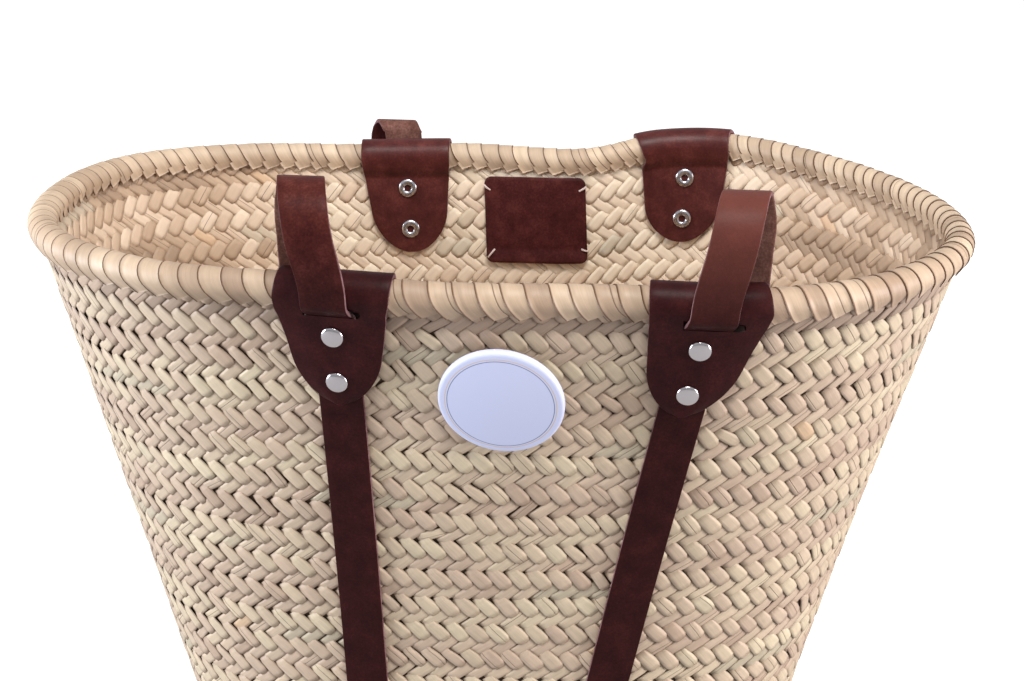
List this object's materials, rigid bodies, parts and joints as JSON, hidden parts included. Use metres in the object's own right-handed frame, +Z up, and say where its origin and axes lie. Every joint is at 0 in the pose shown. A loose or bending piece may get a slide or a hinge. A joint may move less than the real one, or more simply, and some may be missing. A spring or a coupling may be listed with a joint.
{
  "type": "straw beach basket",
  "caption": "Open woven palm-leaf beach basket with a wrapped rim, leather straps that run under the base and become two long handles, leather tabs, label and button badge.",
  "frame": {"origin": "below the middle of the overall box, on the plane that the two girth straps rest on", "axes": "+Z up, +X along the long mouth towards the viewer's right, the badge side towards -Y"},
  "size_m": [0.4626, 0.3072, 0.3425],
  "materials": {
    "straw": "matt plaited palm leaf",
    "rim_leaf": "slightly glossy leaf strip",
    "leather": "satin dark red-brown hide",
    "label_leather": "matt dark red-brown hide",
    "thread": "pale waxed thread",
    "rivet_metal": "bright nickel plate",
    "tinplate": "plain tinplate",
    "badge_film": "glossy film over white paper"
  },
  "bodies": {
    "basket": {"woven_body": "straw", "rim_core": "straw", "rim_wrap": "rim_leaf", "leather_label": "label_leather", "badge_shell": "badge_film", "badge_back": "tinplate", "badge_pin": "rivet_metal", "front_left_tab": "leather", "front_right_tab": "leather", "back_left_tab": "leather", "back_right_tab": "leather", "left_girth_strap": "leather", "right_girth_strap": "leather", "front_left_upper_rivet": "rivet_metal", "front_left_upper_rivet_ring": "rivet_metal", "front_left_lower_rivet": "rivet_metal", "front_left_lower_rivet_ring": "rivet_metal", "front_right_upper_rivet": "rivet_metal", "front_right_upper_rivet_ring": "rivet_metal", "front_right_lower_rivet": "rivet_metal", "front_right_lower_rivet_ring": "rivet_metal", "back_left_upper_rivet": "rivet_metal", "back_left_upper_rivet_ring": "rivet_metal", "back_left_lower_rivet": "rivet_metal", "back_left_lower_rivet_ring": "rivet_metal", "back_right_upper_rivet": "rivet_metal", "back_right_upper_rivet_ring": "rivet_metal", "back_right_lower_rivet": "rivet_metal", "back_right_lower_rivet_ring": "rivet_metal", "label_thread_top_left": "thread", "label_thread_top_right": "thread", "label_thread_bottom_left": "thread", "label_thread_bottom_right": "thread"},
    "front_left_crown": {"front_left_crown": "leather"},
    "front_right_crown": {"front_right_crown": "leather"},
    "front_grip": {"front_grip": "leather"},
    "back_left_crown": {"back_left_crown": "leather"},
    "back_right_crown": {"back_right_crown": "leather"},
    "back_grip": {"back_grip": "leather"}
  },
  "joints": [
    {"name": "front_left_root_bend", "type": "hinge", "parent": "basket", "child": "front_left_crown", "pos_m": [-0.07422, -0.14366, 0.33483], "axis": [0.9999, -0.0115, -0.0008], "range_deg": [0, 85]},
    {"name": "front_right_root_bend", "type": "hinge", "parent": "basket", "child": "front_right_crown", "pos_m": [0.10996, -0.14577, 0.33468], "axis": [0.9999, -0.0115, -0.0008], "range_deg": [0, 85]},
    {"name": "front_grip_bend", "type": "hinge", "parent": "front_left_crown", "child": "front_grip", "pos_m": [-0.07943, -0.11849, 0.33483], "axis": [0.9999, -0.0115, -0.0008], "range_deg": [0, 85]},
    {"name": "back_left_root_bend", "type": "hinge", "parent": "basket", "child": "back_left_crown", "pos_m": [-0.06295, 0.13544, 0.30064], "axis": [0.9997, -0.025, 0.0025], "range_deg": [0, 85]},
    {"name": "back_right_root_bend", "type": "hinge", "parent": "basket", "child": "back_right_crown", "pos_m": [0.10471, 0.13125, 0.30105], "axis": [0.9997, -0.025, 0.0025], "range_deg": [0, 85]},
    {"name": "back_grip_bend", "type": "hinge", "parent": "back_left_crown", "child": "back_grip", "pos_m": [-0.06682, 0.14084, 0.30063], "axis": [0.9997, -0.025, 0.0025], "range_deg": [0, 85]}
  ],
  "couplings": [
    {"joint": "front_right_root_bend", "follows": "front_left_root_bend", "ratio": 1},
    {"joint": "front_grip_bend", "follows": "front_left_root_bend", "ratio": 1},
    {"joint": "back_right_root_bend", "follows": "back_left_root_bend", "ratio": 1},
    {"joint": "back_grip_bend", "follows": "back_left_root_bend", "ratio": 1}
  ]
}
